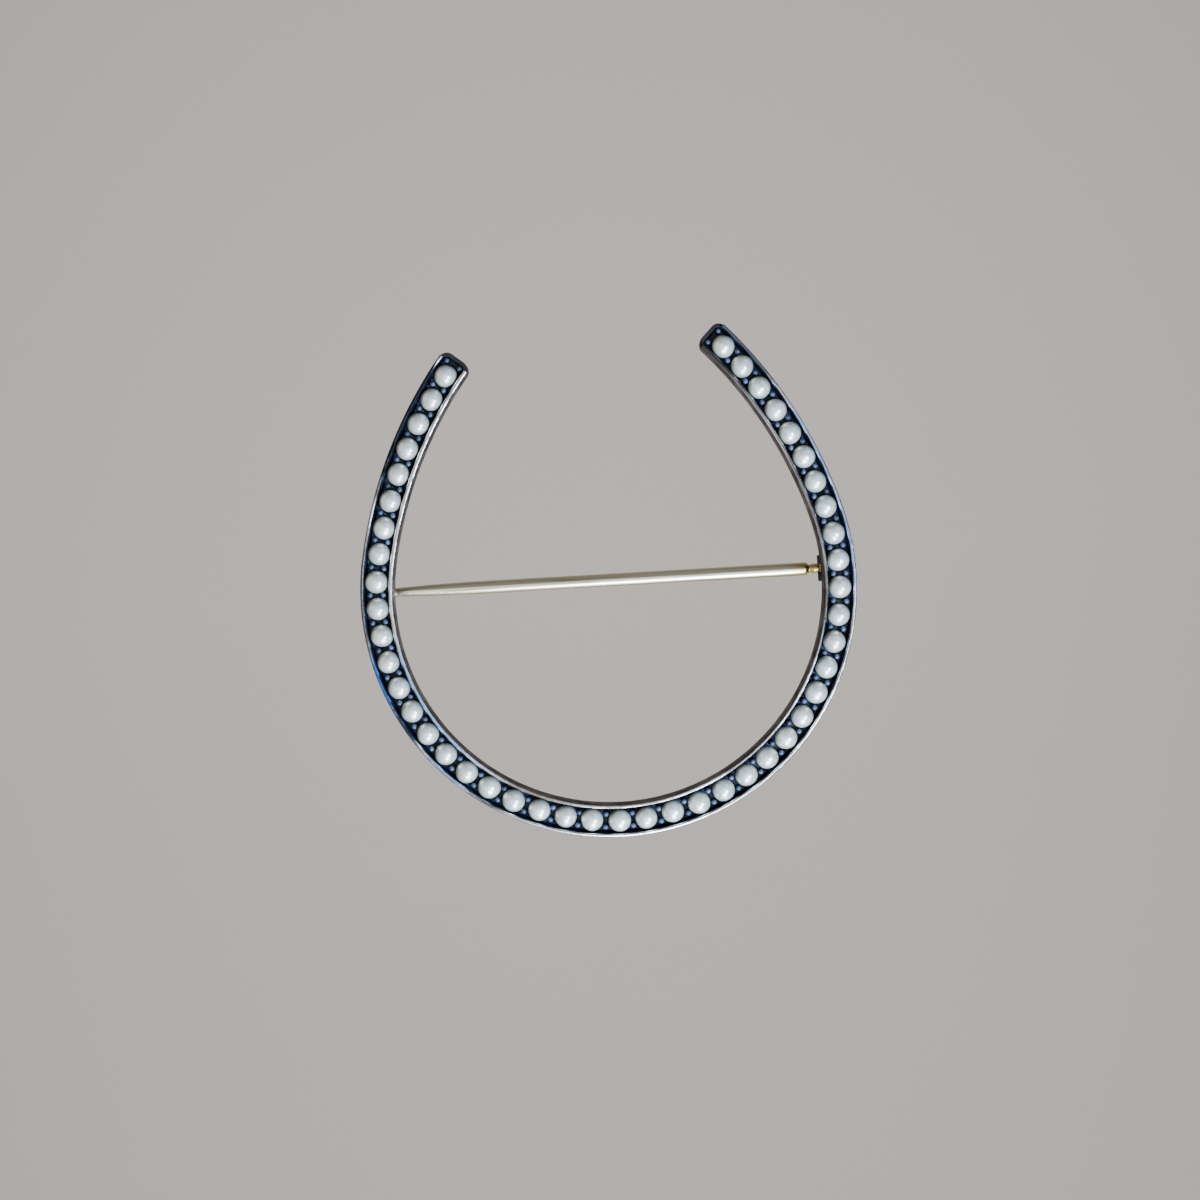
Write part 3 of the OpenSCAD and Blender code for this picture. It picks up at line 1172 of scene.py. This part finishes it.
# Camera, floor and lights
def makeCamera():
    # The fitted view: the camera's turns are undone to stand the brooch upright
    lensTurn = (
        Matrix.Rotation(math.radians(photoView["roll"]), 3, "Z")
        @ Matrix.Rotation(math.radians(photoView["turn"]), 3, "Y")
        @ Matrix.Rotation(math.radians(photoView["tilt"]), 3, "X")
    ).transposed()
    eye = lensTurn @ Vector((-photoView["across"], -photoView["up"], photoView["distance"]))
    upright = Matrix(((1, 0, 0), (0, 0, -1), (0, 1, 0)))
    aim = Vector((0, photoView["aimDepth"], photoView["aimHeight"]))
    lens = bpy.data.cameras.new("photoCamera")
    lens.lens = photoView["lens"]
    lens.sensor_width = 36.0
    lens.sensor_fit = "HORIZONTAL"
    lens.clip_start = 0.005
    camera = bpy.data.objects.new("photoCamera", lens)
    bpy.context.scene.collection.objects.link(camera)
    camera.matrix_world = (
        Matrix.Translation((upright @ eye + aim) * mm) @ (upright @ lensTurn).to_4x4()
    )
    bpy.context.scene.camera = camera


studio = {
    "floorHeight": -300.0,
    "floorSize": 2.6,
    "wallBehind": 0.5,
    "wallHeight": 1.2,
    "paper": "#DDD6CC",
    "worldColour": "#E6E6E8",
    "worldStrength": 0.34,
}

# Each light: side angle and height angle from the front, distance, size, power and colour
lights = {
    "keyLow": (12, -54, 0.14, 0.075, 0.55, "#C8DDFF"),
    "keySide": (32, -22, 0.15, 0.06, 0.5, "#BDD6FF"),
    "underPanel": (4, -78, 0.2, 0.12, 0.16, "#E2ECFF"),
    "lowPanel": (-6, -22, 0.26, 0.32, 0.3, "#FBFAFF"),
    "fillUpper": (52, 34, 0.3, 0.14, 0.1, "#B9D3FF"),
    "softLeft": (-72, 26, 0.25, 0.25, 0.12, "#F3F6E2"),
}

# A broad light behind the brooch that shines on the paper alone
backdropLight = {
    "depth": 0.03,
    "size": 1.0,
    "power": 1.9,
    "colour": "#FFF8F0",
}


def makeFloor():
    # Pale paper, rising in one sweep behind the brooch
    clearSelection()
    half = studio["floorSize"] / 2
    bpy.ops.mesh.primitive_plane_add(
        size=studio["floorSize"], location=(0, studio["wallBehind"] - half, studio["floorHeight"] * mm)
    )
    paper = bpy.context.object
    paper.name = "paleFloor"
    settle(paper)
    edit(paper, "EDGE")
    pick(paper, "edges", lambda e: all(v.co.y > studio["wallBehind"] - 0.01 for v in e.verts))
    bpy.ops.mesh.extrude_region_move(TRANSFORM_OT_translate={"value": (0, 0, studio["wallHeight"])})
    pick(
        paper,
        "edges",
        lambda e: all(
            v.co.y > studio["wallBehind"] - 0.01 and v.co.z < studio["floorHeight"] * mm + 0.01 for v in e.verts
        ),
    )
    bpy.ops.mesh.bevel(offset=0.3, segments=16, affect="EDGES")
    bpy.ops.object.mode_set(mode="OBJECT")
    smooth(paper)
    material, tree, shader, place = newMaterial("palePaper")
    fibres = addNode(tree, "ShaderNodeTexNoise", {"Scale": 1 / (0.6 * mm), "Detail": 3.0}, {"Vector": place})
    bump = addNode(tree, "ShaderNodeBump", {"Strength": 0.1, "Distance": 0.05 * mm}, {"Height": fibres.outputs["Fac"]})
    shader.inputs["Base Color"].default_value = hexColour(studio["paper"])
    shader.inputs["Roughness"].default_value = 0.9
    tree.links.new(bump.outputs["Normal"], shader.inputs["Normal"])
    paper.data.materials.append(material)


def makeLamp(name, size, power, colour, place, facing):
    # A round soft light at a place, shining against the facing direction
    lamp = bpy.data.lights.new(name, "AREA")
    lamp.shape = "DISK"
    lamp.size = size
    lamp.energy = power
    lamp.color = hexColour(colour)[:3]
    holder = bpy.data.objects.new(name, lamp)
    holder.matrix_world = Matrix.Translation(place) @ facing.to_track_quat("Z", "Y").to_matrix().to_4x4()
    holder.visible_camera = False
    bpy.context.scene.collection.objects.link(holder)


def makeLights():
    for name, (side, lift, distance, size, power, colour) in lights.items():
        a, e = math.radians(side), math.radians(lift)
        way = Vector((math.sin(a) * math.cos(e), -math.cos(a) * math.cos(e), math.sin(e)))
        makeLamp(name, size, power, colour, way * distance, way)
    makeLamp(
        "backdropLight",
        backdropLight["size"],
        backdropLight["power"],
        backdropLight["colour"],
        Vector((0, backdropLight["depth"], 0)),
        Vector((0, -1, 0)),
    )
    world = bpy.data.worlds.new("paleRoom")
    world.use_nodes = True
    sky = world.node_tree.nodes["Background"]
    sky.inputs["Color"].default_value = hexColour(studio["worldColour"])
    sky.inputs["Strength"].default_value = studio["worldStrength"]
    bpy.context.scene.world = world


makeCamera()
makeFloor()
makeLights()
print("Camera, floor and lights made")

clearSelection()
